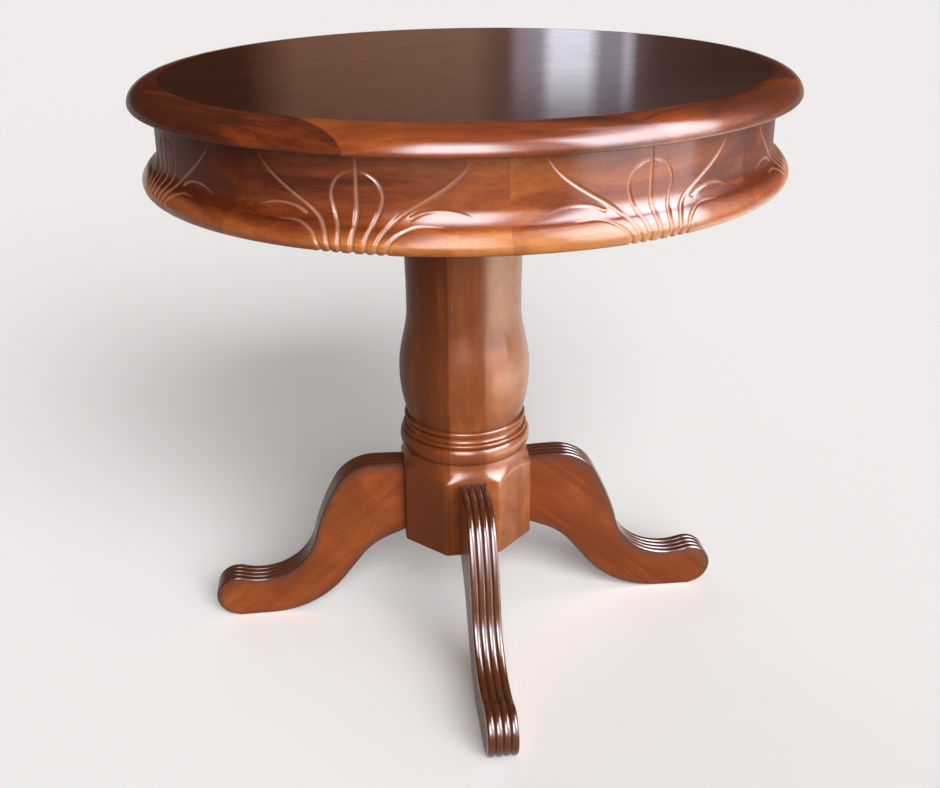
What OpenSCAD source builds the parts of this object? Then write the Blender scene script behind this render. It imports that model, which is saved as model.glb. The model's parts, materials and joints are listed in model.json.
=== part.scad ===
// Round pedestal table with a moulded rim, a carved apron, a turned column
// on an octagonal block, and four reeded S-shaped legs.
// Millimetres. The origin is on the floor under the column, +Z is up,
// and the front leg points along -Y.

/* [Top] */
// Height of the tabletop above the floor
table_height = 762; // [745:1:780]
// Diameter of the top across its rim
top_diameter = 800; // [780:2:840]
// Thickness of the panel and of the rim around it
top_thickness = 27; // [25:0.5:30]
// Width of each rim segment, which is the rounded part of the edge
rim_width = 37; // [34:0.5:40]
// Radius under the rim's outer edge
rim_under_radius = 3.5; // [2:0.5:5]
// Angle of the rim's scarf joints away from the radius
scarf_angle = 62; // [45:1:65]
// Length of the tongue that the panel lets into the rim
tongue_length = 12; // [9:0.5:14]
// Thickness of that tongue
tongue_thickness = 8; // [6:0.5:9]

/* [Apron] */
// Height of the apron under the top
apron_height = 95; // [90:1:100]
// How far the apron's wall stands back from the rim's outer edge
apron_setback = 28; // [25:0.5:30]
// Thickness of the apron's wall
apron_wall = 26; // [24:0.5:28]
// How far the nose along the bottom stands out from the wall
nose_reach = 20; // [18:0.5:22]
// Radius of the cove below the wall
cove_radius = 23; // [20:1:26]
// Radius of the swell between the cove and the nose
swell_radius = 46; // [40:1:55]
// Radius of the rounded nose
nose_radius = 10; // [8:0.5:12]
// Height of the loose splines in the apron's joints
spline_height = 64; // [50:1:70]
// Length of a spline across the joint
spline_length = 26; // [20:0.5:30]
// Thickness of a spline
spline_thickness = 6; // [5:0.5:8]

/* [Frame under the top] */
// Width of the crossed bearers
bearer_width = 80; // [70:1:90]
// Thickness of the crossed bearers
bearer_thickness = 32; // [30:1:36]
// Radius of the round mounting block under the bearers
mount_radius = 115; // [110:1:125]
// Thickness of the mounting block
mount_thickness = 32; // [28:1:34]
// Length of a glue block along the apron
block_length = 60; // [50:1:70]
// Width and height of a glue block
block_size = 26; // [22:1:28]

/* [Column] */
// Radius of the turned shaft
shaft_radius = 76; // [73:0.5:78]
// Radius of the vase-shaped belly
belly_radius = 87.5; // [85:0.5:89]
// Height of the belly's widest ring above the floor
belly_height = 359; // [352:1:370]
// Height of the neck under the belly
neck_height = 299; // [297.5:0.5:302]
// Radius of the neck
neck_radius = 78.5; // [77:0.5:80]
// Radius of the large torus above the block
torus_radius = 88.5; // [87:0.5:91]
// Distance across the flats of the octagonal block
octagon_flats = 174; // [172:0.5:178]
// Height of the block's underside above the floor
octagon_bottom = 119; // [116:1:121]
// Height of the block's upper corners
octagon_top = 228; // [226:0.5:229.5]
// Radius of the column's tenon in the mounting block
tenon_radius = 28; // [25:0.5:32]

/* [Legs] */
// Thickness of a leg between its flat sides
leg_thickness = 37; // [35:0.5:40]
// Height of the leg's reeded edge at its highest, where the knee starts
leg_crest = 228.5; // [226.5:0.5:229.5]
// Height of the leg's underside where it meets the block
leg_joint_bottom = 123; // [120:0.5:126]
// Radius of the knee
knee_radius = 64; // [60:1:67]
// Height of the reeded edge at the instep
instep_height = 57; // [55:0.5:60]
// Radius of the rounded toe
toe_radius = 31; // [30.5:0.25:32]
// Height of the reeds above their grooves
reed_height = 2; // [1.5:0.25:3]
// Depth of the dovetail that holds the leg in the block
dovetail_depth = 18; // [14:0.5:20]
// Width of the dovetail where it leaves the leg
dovetail_neck = 16; // [14:0.5:18]
// Width of the dovetail at its inner end
dovetail_wide = 23; // [20:0.5:25]

/* [Fits] */
// Room around a tongue, a spline or a dovetail
joint_room = 0.15; // [0.1:0.05:0.25]
// Room around a screw's shank and a tenon
bore_room = 0.2; // [0.1:0.05:0.3]

/* [Hidden] */
$fn = 96;

// One rim segment, one apron segment and one carving cover this angle
segment_count = 8;
segment_angle = 360 / segment_count;

// Heights
top_under = table_height - top_thickness;
apron_bottom = top_under - apron_height;
bearer_bottom = top_under - bearer_thickness;
mount_bottom = bearer_bottom - mount_thickness;

// Radii around the column's axis
rim_outer = top_diameter / 2;
rim_inner = rim_outer - rim_width;
wall_outer = rim_outer - apron_setback;
wall_inner = wall_outer - apron_wall;
nose_outer = wall_outer + nose_reach;

// Steps along a curve that is drawn as an outline
curve_steps = 12;

wood_dark = [0.30, 0.12, 0.06];
wood_red = [0.52, 0.22, 0.10];
wood_plain = [0.66, 0.47, 0.29];
steel = [0.62, 0.62, 0.60];

// Points on a circular arc, from angle a to angle b
function arc(centre, radius, a, b, steps = curve_steps) =
    [for (i = [0:steps]) let (t = a + (b - a) * i / steps) centre + radius * [cos(t), sin(t)]];

// Points on a quarter of an ellipse, from angle a to angle b
function oval(centre, half_width, half_height, a, b) =
    [for (i = [0:curve_steps]) let (t = a + (b - a) * i / curve_steps)
        centre + [half_width * cos(t), half_height * sin(t)]];

// Points on a soft S from p to q that starts and ends upright
function soft_s(p, q, steps = 8) =
    [for (i = [0:steps]) let (t = i / steps)
        [p[0] + (q[0] - p[0]) * (1 - cos(180 * t)) / 2, p[1] + (q[1] - p[1]) * t]];

// A child repeated once for each segment, starting at the given angle
module around(start = 0, count = segment_count) {
    for (i = [0:count - 1]) rotate([0, 0, start + i * 360 / count]) children();
}

// Countersunk wood screw that points up, with its head's face at the origin
screw_length = 45;
screw_radius = 2.2;
screw_head_radius = 4.5;
screw_head_height = 3;

module screw(length = screw_length) {
    cylinder(h = screw_head_height, r1 = screw_head_radius, r2 = screw_radius);
    translate([0, 0, screw_head_height - 0.01])
        cylinder(h = length - screw_head_height - 4, r = screw_radius);
    translate([0, 0, length - 4.02])
        cylinder(h = 4, r1 = screw_radius, r2 = 0.6);
}

// Space that a screw takes in the wood
module screw_hole(length = screw_length) {
    translate([0, 0, -0.5])
        cylinder(h = 0.5 + bore_room, r = screw_head_radius + bore_room);
    translate([0, 0, bore_room - 0.01])
        cylinder(h = screw_head_height, r1 = screw_head_radius + bore_room, r2 = screw_radius + bore_room);
    cylinder(h = length + 1, r = screw_radius + bore_room);
}

// Top: a round panel with a tongue all round, let into eight rim segments

// The tongue lies below the middle, because the rim is rounded on top
tongue_drop = 3;
tongue_middle = top_under + top_thickness / 2 - tongue_drop;

module top_screw_holes() {
    bearer_screw_places() screw_hole();
    block_screw_places() screw_hole();
}

module top_panel() {
    color(wood_dark) difference() {
        union() {
            translate([0, 0, top_under]) cylinder(h = top_thickness, r = rim_inner, $fn = 180);
            translate([0, 0, tongue_middle - tongue_thickness / 2])
                cylinder(h = tongue_thickness, r = rim_inner + tongue_length, $fn = 180);
        }
        top_screw_holes();
    }
}

// The rim's round takes the thickness that its under radius leaves
rim_round_height = top_thickness - rim_under_radius;
rim_round_start = table_height - rim_round_height;

module rim_profile() {
    difference() {
        polygon(concat(
            [[rim_inner, table_height], [rim_inner, top_under]],
            arc([rim_outer - rim_under_radius, top_under + rim_under_radius], rim_under_radius, -90, 0, 5),
            oval([rim_inner, rim_round_start], rim_width, rim_round_height, 0, 84)
        ));
        translate([rim_inner - 1, tongue_middle - tongue_thickness / 2 - joint_room])
            square([1 + tongue_length + joint_room, tongue_thickness + 2 * joint_room]);
    }
}

// Wedge of plan between two scarf lines that cross the rim at a slant
scarf_radius = rim_outer - rim_width / 2;
scarf_half = 70;
// The joints lie this far round from the middles of the apron segments
rim_turn = 5;

function scarf_point(angle, along) =
    scarf_radius * [cos(angle), sin(angle)] + along * [cos(angle + scarf_angle), sin(angle + scarf_angle)];

module rim_segment(index) {
    start = (index - 0.5) * segment_angle - rim_turn;
    stop = start + segment_angle;
    middle = start + segment_angle / 2;
    color(wood_red) intersection() {
        rotate_extrude($fn = 180) rim_profile();
        translate([0, 0, top_under - 1]) linear_extrude(height = top_thickness + 2) polygon([
            scarf_point(start, -scarf_half),
            scarf_point(start, scarf_half),
            (rim_outer + 90) * [cos(middle + 6), sin(middle + 6)],
            scarf_point(stop, scarf_half),
            scarf_point(stop, -scarf_half)
        ]);
    }
}

// Apron: eight ogee segments with a spline in each joint

// The nose is cut flat a little above its lowest point, and the swell leaves
// it at the join angle. The cove's circle touches both the swell and the wall.
nose_cut = 3;
nose_join = 30;
nose_centre = [nose_outer - nose_radius, apron_bottom + nose_radius - nose_cut];
swell_centre = nose_centre - (swell_radius - nose_radius) * [cos(nose_join), sin(nose_join)];
ogee_run = wall_outer + cove_radius - swell_centre[0];
ogee_rise = sqrt(pow(cove_radius + swell_radius, 2) - pow(ogee_run, 2));
cove_centre = swell_centre + [ogee_run, ogee_rise];
ogee_turn = atan2(ogee_rise, ogee_run);

module apron_profile() {
    polygon(concat(
        [[wall_inner, top_under], [wall_inner, apron_bottom + 4], [wall_inner + 4, apron_bottom]],
        arc(nose_centre, nose_radius, -asin(1 - nose_cut / nose_radius), nose_join, 8),
        arc(swell_centre, swell_radius, nose_join + 4, ogee_turn, 5),
        arc(cove_centre, cove_radius, 176 + ogee_turn, 180, 9),
        [[wall_outer, top_under]]
    ));
}

spline_middle = (wall_inner + wall_outer) / 2;
spline_base = apron_bottom + (apron_height - spline_height) / 2;

// One spline, or its slot when room is given, centred on the joint at +X
module spline(room = 0) {
    translate([spline_middle, 0, spline_base + spline_height / 2])
        cube([spline_thickness + 2 * room, spline_length + 2 * room, spline_height + 2 * room], center = true);
}

module apron_segment(index) {
    start = (index - 1) * segment_angle;
    color(wood_red) difference() {
        rotate([0, 0, start]) rotate_extrude(angle = segment_angle, $fn = 180) apron_profile();
        rotate([0, 0, start]) spline(joint_room);
        rotate([0, 0, start + segment_angle]) spline(joint_room);
    }
}

module apron_splines() {
    color(wood_plain) around() spline();
}

// Glue blocks in the corner between the apron and the top, one for each segment

block_angle = segment_angle / 2;
block_face = wall_inner * cos(asin(block_length / 2 / wall_inner));

module block_screw_places() {
    around(block_angle)
        translate([block_face - block_size / 2, 0, top_under - block_size]) children();
}

module glue_block(index) {
    color(wood_plain) rotate([0, 0, block_angle + (index - 1) * segment_angle]) difference() {
        translate([block_face - block_size, -block_length / 2, top_under - block_size])
            cube([block_size, block_length, block_size]);
        translate([block_face - block_size - 1, 0, top_under - block_size - 1]) rotate([0, 45, 0])
            cube([12, block_length + 2, 12], center = true);
        translate([block_face - block_size / 2, 0, top_under - block_size]) screw_hole();
    }
}

module block_screws() {
    color(steel) block_screw_places() screw();
}

// Crossed bearers, halved where they cross, screwed up into the panel

bearer_half = wall_inner * cos(asin(bearer_width / 2 / wall_inner));
bearer_screw_radii = [190, 290];

module bearer_screw_places() {
    around(0, 4) for (r = bearer_screw_radii) translate([r, 0, bearer_bottom]) children();
}

module mount_screw_places() {
    around(0, 4) for (side = [-1, 1])
        translate([mount_radius - 32, side * bearer_width / 4, mount_bottom]) children();
}

module bearer(angle, notch_base) {
    color(wood_plain) difference() {
        rotate([0, 0, angle]) translate([-bearer_half, -bearer_width / 2, bearer_bottom])
            cube([2 * bearer_half, bearer_width, bearer_thickness]);
        rotate([0, 0, angle])
            translate([-bearer_width / 2 - joint_room, -bearer_width / 2 - 1, notch_base])
                cube([bearer_width + 2 * joint_room, bearer_width + 2, bearer_thickness / 2 + 1]);
        translate([0, 0, bearer_bottom - 1])
            cylinder(h = tenon_rise + 1 + joint_room, r = tenon_radius + bore_room);
        bearer_screw_places() screw_hole();
        mount_screw_places() screw_hole();
    }
}

module bearer_x() {
    bearer(0, bearer_bottom + bearer_thickness / 2);
}

module bearer_y() {
    bearer(90, bearer_bottom - 1);
}

module bearer_screws() {
    color(steel) bearer_screw_places() screw();
}

// Round mounting block that takes the column's tenon

module mounting_block() {
    color(wood_plain) difference() {
        translate([0, 0, mount_bottom]) cylinder(h = mount_thickness, r = mount_radius);
        translate([0, 0, mount_bottom - 1]) cylinder(h = mount_thickness + 2, r = tenon_radius + bore_room);
        mount_screw_places() screw_hole();
    }
}

module mount_screws() {
    color(steel) mount_screw_places() screw();
}

// Column: turned shaft, belly, neck, two rings and a torus over an octagonal block

tenon_rise = 12;
tenon_top = bearer_bottom + tenon_rise;
apothem = octagon_flats / 2;
corner_radius = apothem / cos(22.5);
shaft_foot = belly_height + 90;
bead_radius = neck_radius + 2.4;
torus_half = 11.5;
torus_middle = neck_height - 23 - torus_half;
torus_bottom = torus_middle - torus_half;
// The turned cove over the block, which the flats cut to an arch on each face
shoulder_radius = 33;
shoulder_slope = 38;
shoulder_centre = [corner_radius, octagon_top]
    + shoulder_radius * [sin(shoulder_slope), cos(shoulder_slope)];
shoulder = arc(shoulder_centre, shoulder_radius, 274 - shoulder_slope, 185, 9);

// Belly from the neck to its widest ring
function belly(steps = 12) =
    [for (i = [1:steps]) [neck_radius + (belly_radius - neck_radius) * sin(90 * i / steps),
        neck_height + (belly_height - neck_height) * i / steps]];

module column_profile() {
    polygon(concat(
        [[0, octagon_bottom], [shoulder[0][0], octagon_bottom]],
        shoulder,
        [[torus_radius - 6, torus_bottom]],
        oval([torus_radius - 6, torus_middle], 6, torus_half, -90, 90),
        arc([torus_radius - 7, neck_height - 20], 3, -60, 60, 6),
        [[bead_radius - 0.5, neck_height - 17]],
        arc([bead_radius + 3, neck_height - 12], 4.6, 235, 125, 6),
        arc([bead_radius - 2.5, neck_height - 4], 4, -60, 60, 6),
        [[neck_radius, neck_height]],
        belly(),
        soft_s([belly_radius, belly_height + 6], [shaft_radius, shaft_foot], 12),
        [[shaft_radius, 480], [shaft_radius + 1, 520], [shaft_radius + 3, mount_bottom - 20]],
        [[shaft_radius + 3, mount_bottom], [tenon_radius, mount_bottom]],
        [[tenon_radius, tenon_top], [0, tenon_top]]
    ));
}

// The kerf in the tenon and the wedge that fills it
wedge_width = 6;
wedge_depth = 30;

module wedge(room = 0) {
    translate([0, 0, tenon_top]) rotate([90, 0, 0])
        linear_extrude(height = 2 * tenon_radius - 4 + 2 * room, center = true) polygon([
            [-wedge_width / 2 - room, 0], [-1 - room, -wedge_depth - room],
            [1 + room, -wedge_depth - room], [wedge_width / 2 + room, 0]
        ]);
}

// Plan of a leg's dovetail, with room round it for the socket
module dovetail_plan(room = 0) {
    neck = dovetail_neck / 2 + room;
    wide = dovetail_wide / 2 + room;
    inner = apothem - dovetail_depth - room;
    polygon([[apothem + 1, neck], [apothem, neck], [inner, wide], [inner, -wide],
        [apothem, -neck], [apothem + 1, -neck]]);
}

dovetail_top = leg_crest - 17;

module column() {
    color(wood_red) difference() {
        intersection() {
            rotate_extrude($fn = 120) column_profile();
            union() {
                rotate([0, 0, 22.5]) translate([0, 0, octagon_bottom - 1])
                    cylinder(h = torus_bottom - octagon_bottom + 1, r = corner_radius, $fn = 8);
                translate([0, 0, torus_bottom]) cylinder(h = table_height, r = corner_radius + 2);
            }
        }
        around(0, 4) translate([0, 0, octagon_bottom - 1])
            linear_extrude(height = dovetail_top - octagon_bottom + 1 + joint_room) dovetail_plan(joint_room);
        wedge();
    }
}

module tenon_wedge() {
    color(wood_plain) wedge();
}

// Leg: its reeded edge runs along the brow, over the knee, down the shin,
// through the instep and over the toe. Each stretch is an arc that starts
// where the one before ends, in the same direction.

knee_turn = 60;
knee_start = 127.5;
brow_radius = 600;
brow_centre = [knee_start, leg_crest - brow_radius];
brow_turn = asin((knee_start - apothem) / brow_radius);
knee_centre = [knee_start, leg_crest - knee_radius];
knee_end = knee_centre + knee_radius * [sin(knee_turn), cos(knee_turn)];
shin_radius = 300;
shin_turn = 16;
fall = knee_turn + shin_turn;
shin_centre = knee_end - shin_radius * [sin(knee_turn), cos(knee_turn)];
shin_end = shin_centre + shin_radius * [sin(fall), cos(fall)];
instep_radius = (shin_end[1] - instep_height) / (1 - cos(fall));
instep_centre = shin_end + instep_radius * [sin(fall), cos(fall)];
toe_rise = acos((instep_centre[1] - toe_radius) / (instep_radius + toe_radius));
toe_centre = instep_centre + (instep_radius + toe_radius) * [sin(toe_rise), -cos(toe_rise)];
// The reeds run out under the toe at this angle
reed_end = -80;

// Stations along an arc of the crest: a point and the direction into the wood.
// The direction turns round where the arc is hollow.
function stations(centre, radius, a, b, steps, inward = -1) =
    [for (i = [1:steps]) let (t = a + (b - a) * i / steps, ray = [cos(t), sin(t)])
        [centre + radius * ray, inward * ray]];

crest = concat(
    [[[apothem, brow_centre[1] + brow_radius * cos(brow_turn)], [0, -1]]],
    stations(brow_centre, brow_radius, 90 + brow_turn, 90, 2),
    stations(knee_centre, knee_radius, 90, 90 - knee_turn, 8),
    stations(shin_centre, shin_radius, 90 - knee_turn, 90 - fall, 4),
    stations(instep_centre, instep_radius, 270 - fall, 270 + toe_rise, 10, 1),
    stations(toe_centre, toe_radius, 90 + toe_rise, reed_end, 14)
);
last = len(crest) - 1;

// Underside: a short slope, a hollow, a straight, a long round and a flat sole
slope_angle = 22;
shank_angle = 52;
hollow_radius = 95;
sole_radius = 135;
hollow_start = [110, leg_joint_bottom - (110 - apothem) * tan(slope_angle)];
hollow_end = hollow_start
    + hollow_radius * [sin(shank_angle) - sin(slope_angle), cos(shank_angle) - cos(slope_angle)];
sole_drop = sole_radius * (1 - cos(shank_angle));
sole_start = [hollow_end[0] + (hollow_end[1] - sole_drop) / tan(shank_angle), sole_drop];
sole_centre = sole_start + sole_radius * [sin(shank_angle), cos(shank_angle)];

underside = concat(
    [[apothem, leg_joint_bottom]],
    arc(hollow_start - hollow_radius * [sin(slope_angle), cos(slope_angle)],
        hollow_radius, 90 - slope_angle, 90 - shank_angle, 6),
    arc(sole_centre, sole_radius, 270 - shank_angle, 270, 10),
    [[toe_centre[0], 0]]
);

// Running length at each point of an outline
function lengths(points) =
    [for (i = 0, s = 0; i < len(points);
        s = s + (i + 1 < len(points) ? norm(points[i + 1] - points[i]) : 0), i = i + 1) s];

// The outline's points taken again at even steps of its length
function evenly(points, steps) =
    let (s = lengths(points), whole = s[len(s) - 1])
    let (along = [for (i = [0:len(s) - 1]) [s[i], points[i][0]]])
    let (up = [for (i = [0:len(s) - 1]) [s[i], points[i][1]]])
    [for (i = [0:steps]) [lookup(whole * i / steps, along), lookup(whole * i / steps, up)]];

sole = evenly(underside, last);

// Section of the reeded edge: for each point across it, the place across
// and the depth below the crest of its round reed
reed_count = 4;
reed_steps = 5;
reed_pitch = leg_thickness / reed_count;
reed_radius = (pow(reed_pitch / 2, 2) + pow(reed_height, 2)) / (2 * reed_height);
across = reed_count * reed_steps;
reeds = [for (i = [0:across]) let (u = reed_pitch * ((i % reed_steps) / reed_steps - 0.5))
    [reed_pitch * i / reed_steps - leg_thickness / 2, reed_radius - sqrt(pow(reed_radius, 2) - u * u)]];

// One ring of points for each station: over the reeds, then back underneath
ring = across + 3;
leg_points = [for (k = [0:last]) each concat(
    [for (r = reeds) let (p = crest[k][0] + r[1] * crest[k][1]) [p[0], r[0], p[1]]],
    [for (side = [1, -1]) [sole[k][0], side * leg_thickness / 2, sole[k][1]]]
)];

// Faces along the leg, and the two ends closed from their lower corners
leg_sides = [for (k = [0:last - 1], j = [0:ring - 1])
    let (a = k * ring + j, b = k * ring + (j + 1) % ring)
    each [[a, b, b + ring], [a, b + ring, a + ring]]];

function leg_end(first, middle) = concat(
    [for (i = [0:across - 1]) [first + i, first + i + 1, first + across + (i < middle ? 2 : 1)]],
    [[first + middle, first + across + 1, first + across + 2]]
);

function turned(faces) = [for (f = faces) [f[1], f[0], f[2]]];

module leg(angle) {
    color(wood_red) rotate([0, 0, angle]) {
        polyhedron(
            points = leg_points,
            faces = concat(leg_sides, turned(leg_end(0, across / 2)), leg_end(last * ring, across / 2))
        );
        translate([0, 0, leg_joint_bottom + 1])
            linear_extrude(height = dovetail_top - leg_joint_bottom - 1) dovetail_plan();
    }
}

top_panel();
rim_segment(1);  // rim_1
rim_segment(2);  // rim_2
rim_segment(3);  // rim_3
rim_segment(4);  // rim_4
rim_segment(5);  // rim_5
rim_segment(6);  // rim_6
rim_segment(7);  // rim_7
rim_segment(8);  // rim_8
apron_segment(1);  // apron_1
apron_segment(2);  // apron_2
apron_segment(3);  // apron_3
apron_segment(4);  // apron_4
apron_segment(5);  // apron_5
apron_segment(6);  // apron_6
apron_segment(7);  // apron_7
apron_segment(8);  // apron_8
apron_splines();
glue_block(1);  // glue_block_1
glue_block(2);  // glue_block_2
glue_block(3);  // glue_block_3
glue_block(4);  // glue_block_4
glue_block(5);  // glue_block_5
glue_block(6);  // glue_block_6
glue_block(7);  // glue_block_7
glue_block(8);  // glue_block_8
block_screws();
bearer_x();
bearer_y();
bearer_screws();
mounting_block();
mount_screws();
column();
tenon_wedge();
leg(-90);  // leg_front
leg(0);  // leg_right
leg(90);  // leg_back
leg(180);  // leg_left
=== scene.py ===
import bpy
import json
import math
import numpy as np
from mathutils import Matrix, Vector

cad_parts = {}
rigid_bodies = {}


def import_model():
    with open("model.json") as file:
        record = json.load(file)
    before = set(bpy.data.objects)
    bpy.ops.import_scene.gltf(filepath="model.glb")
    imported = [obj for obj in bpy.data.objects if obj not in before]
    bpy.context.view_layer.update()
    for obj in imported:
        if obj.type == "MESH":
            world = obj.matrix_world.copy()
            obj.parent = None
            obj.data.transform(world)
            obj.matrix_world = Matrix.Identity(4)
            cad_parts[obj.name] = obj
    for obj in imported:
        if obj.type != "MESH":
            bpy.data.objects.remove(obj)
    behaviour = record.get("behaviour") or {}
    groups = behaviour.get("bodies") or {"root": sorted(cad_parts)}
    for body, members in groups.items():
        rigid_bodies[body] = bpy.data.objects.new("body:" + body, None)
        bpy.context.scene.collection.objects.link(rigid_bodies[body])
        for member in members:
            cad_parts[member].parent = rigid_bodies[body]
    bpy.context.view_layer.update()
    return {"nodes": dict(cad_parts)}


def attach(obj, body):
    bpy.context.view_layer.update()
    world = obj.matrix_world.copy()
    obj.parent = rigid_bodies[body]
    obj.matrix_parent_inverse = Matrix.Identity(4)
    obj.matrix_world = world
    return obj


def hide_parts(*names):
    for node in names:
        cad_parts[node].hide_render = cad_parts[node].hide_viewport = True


# Round pedestal table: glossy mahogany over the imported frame, in metres, +Z up,
# with the front leg along -Y. The settings of each piece sit beside its code.

for left in list(bpy.data.objects):
    bpy.data.objects.remove(left)

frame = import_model()
nodes = frame["nodes"]
print("frame loaded:", len(nodes), "nodes")

segments = 8                    # segments of the rim and of the apron, and flats of the column's foot
segmentTurn = 360.0 / segments  # degrees


def placeObject(name, data):
    thing = bpy.data.objects.new(name, data)
    bpy.context.scene.collection.objects.link(thing)
    return thing


# Camera, placed by matching the rim, the apron, the octagonal block and the feet in the picture

cameraSet = {
    "imageWidth": 940,                           # pixels
    "position": (-0.1646, -1.3744, 0.9622),
    "yaw": 4.96, "pitch": 21.53, "roll": -1.19,  # degrees
    "focal": 1116.3,                             # pixels
    "middle": (-40.1, -66.2),                    # pixels from the picture's middle to the lens axis
    "sensor": 36.0,                              # millimetres
}


def makeCamera(c):
    # the lens axis turned by yaw about the vertical, tipped down by pitch, and rolled about itself
    data = bpy.data.cameras.new("camera")
    cam = placeObject("camera", data)
    yaw, pitch, roll = (math.radians(c[k]) for k in ("yaw", "pitch", "roll"))
    ahead = Vector((math.sin(yaw) * math.cos(pitch), math.cos(yaw) * math.cos(pitch), -math.sin(pitch)))
    side = Vector((math.cos(yaw), -math.sin(yaw), 0.0))
    up = side.cross(ahead)
    x = math.cos(roll) * side + math.sin(roll) * up
    y = -math.sin(roll) * side + math.cos(roll) * up
    turned = Matrix((x, y, -ahead)).transposed().to_4x4()
    cam.matrix_world = Matrix.Translation(Vector(c["position"])) @ turned
    data.sensor_fit = "HORIZONTAL"
    data.sensor_width = c["sensor"]
    data.lens = c["sensor"] * c["focal"] / c["imageWidth"]
    data.shift_x = -c["middle"][0] / c["imageWidth"]
    data.shift_y = c["middle"][1] / c["imageWidth"]
    data.clip_start = 0.01
    bpy.context.scene.camera = cam


makeCamera(cameraSet)
print("camera set")


# Node trees

def startTree(owner):
    owner.use_nodes = True
    owner.node_tree.nodes.clear()
    return owner.node_tree


def addNode(tree, kind, inputs=None, **settings):
    node = tree.nodes.new(kind)
    for key, value in settings.items():
        setattr(node, key, value)
    for key, value in (inputs or {}).items():
        if isinstance(value, bpy.types.NodeSocket):
            tree.links.new(value, node.inputs[key])
        else:
            node.inputs[key].default_value = value
    return node


def endTree(tree, shader, kind="ShaderNodeOutputMaterial"):
    tree.links.new(shader.outputs[0], addNode(tree, kind).inputs[0])


def mathNode(tree, operation, a, b=0.0):
    return addNode(tree, "ShaderNodeMath", {0: a, 1: b}, operation=operation).outputs[0]


def product(tree, a, b):
    return mathNode(tree, "MULTIPLY", a, b)


def total(tree, a, b):
    return mathNode(tree, "ADD", a, b)


def mapRange(tree, value, low, high, newLow, newHigh):
    return addNode(tree, "ShaderNodeMapRange", {0: value, 1: low, 2: high, 3: newLow, 4: newHigh}).outputs[0]


def smoothEdge(tree, value, start, stop):
    # from 0 at the start to 1 at the stop, level at both ends
    return addNode(tree, "ShaderNodeMapRange", {0: value, 1: start, 2: stop, 3: 0.0, 4: 1.0},
                   interpolation_type="SMOOTHSTEP").outputs[0]


def mixColour(tree, factor, a, b):
    return addNode(tree, "ShaderNodeMix", {0: factor, 6: a, 7: b}, data_type="RGBA").outputs[2]


def rampNode(tree, value, stops):
    node = addNode(tree, "ShaderNodeValToRGB", {0: value})
    ramp = node.color_ramp
    while len(ramp.elements) < len(stops):
        ramp.elements.new(0.5)
    for element, (place, colour) in zip(ramp.elements, stops):
        element.position = place
        element.color = (*colour, 1.0)
    return node.outputs[0]


def spreadRamp(tree, value, low, high, stops):
    # the stops' places are on the value's own scale, between low and high
    return rampNode(tree, mapRange(tree, value, low, high, 0.0, 1.0),
                    [((place - low) / (high - low), colour) for place, colour in stops])


def levelRamp(tree, value, low, high, levels):
    # a curve of levels against the value, as a grey ramp
    return spreadRamp(tree, value, low, high, [(place, (level,) * 3) for place, level in levels])


def noiseNode(tree, place, n):
    # noise in the settings n, drawn out along the grain where they have a stretch
    if "stretch" in n:
        place = addNode(tree, "ShaderNodeMapping", {"Vector": place, "Scale": n["stretch"]}).outputs[0]
    return addNode(tree, "ShaderNodeTexNoise", {
        "Vector": place, "Scale": n["scale"], "Detail": n["detail"], "Roughness": n.get("roughness", 0.5),
        "Distortion": n.get("distortion", 0.0)}).outputs[0]


# Wood finishes. Colours are linear. The grain runs along the first axis of the board.

gougedWood = (0.46, 0.25, 0.16, 1.0)    # paler wood in the carver's cuts
darkStain = (0.035, 0.010, 0.004, 1.0)  # brushed over the reeds and left in the grooves
specularTint = (1.0, 0.60, 0.38, 1.0)
noiseSpan = (0.3, 0.7)                  # holds nearly all of a noise's values

grainSet = {
    "figure": {"stretch": (1.4, 14.0, 14.0), "scale": 2.4, "detail": 7.0, "roughness": 0.58, "distortion": 0.6},
    "streak": {"stretch": (5.0, 150.0, 150.0), "scale": 2.2, "detail": 4.0, "roughness": 0.6},
    "pore": {"stretch": (55.0, 900.0, 900.0), "scale": 1.6, "detail": 2.0},
    "blotch": {"scale": 16.0, "detail": 4.0, "roughness": 0.55, "distortion": 0.8},
    "peel": {"scale": 60.0, "detail": 1.5},
    "shares": {"figure": 0.80, "streak": 0.20, "tone": 0.16},
    "stops": (0.34, 0.50, 0.68, 0.84),        # the grain's value at dark, mid, light and worn wood; on the apron's swell the worn wood is partly painted sheen
    "poreEdge": (0.60, 0.70), "blotchEdge": (0.40, 0.68),
    "poreShade": 0.35, "blotchShade": 0.55,   # shares of the dark and of the mid colour
    "gougePale": 0.45, "satinEdge": 0.5,
    "bump": 0.25, "bumpDepth": 0.0003, "poreSink": 0.6, "peelDepth": 0.001,
    "toneSpan": (-1.5, 2.5),                  # the tones that a sheen's curve runs over
}

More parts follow.
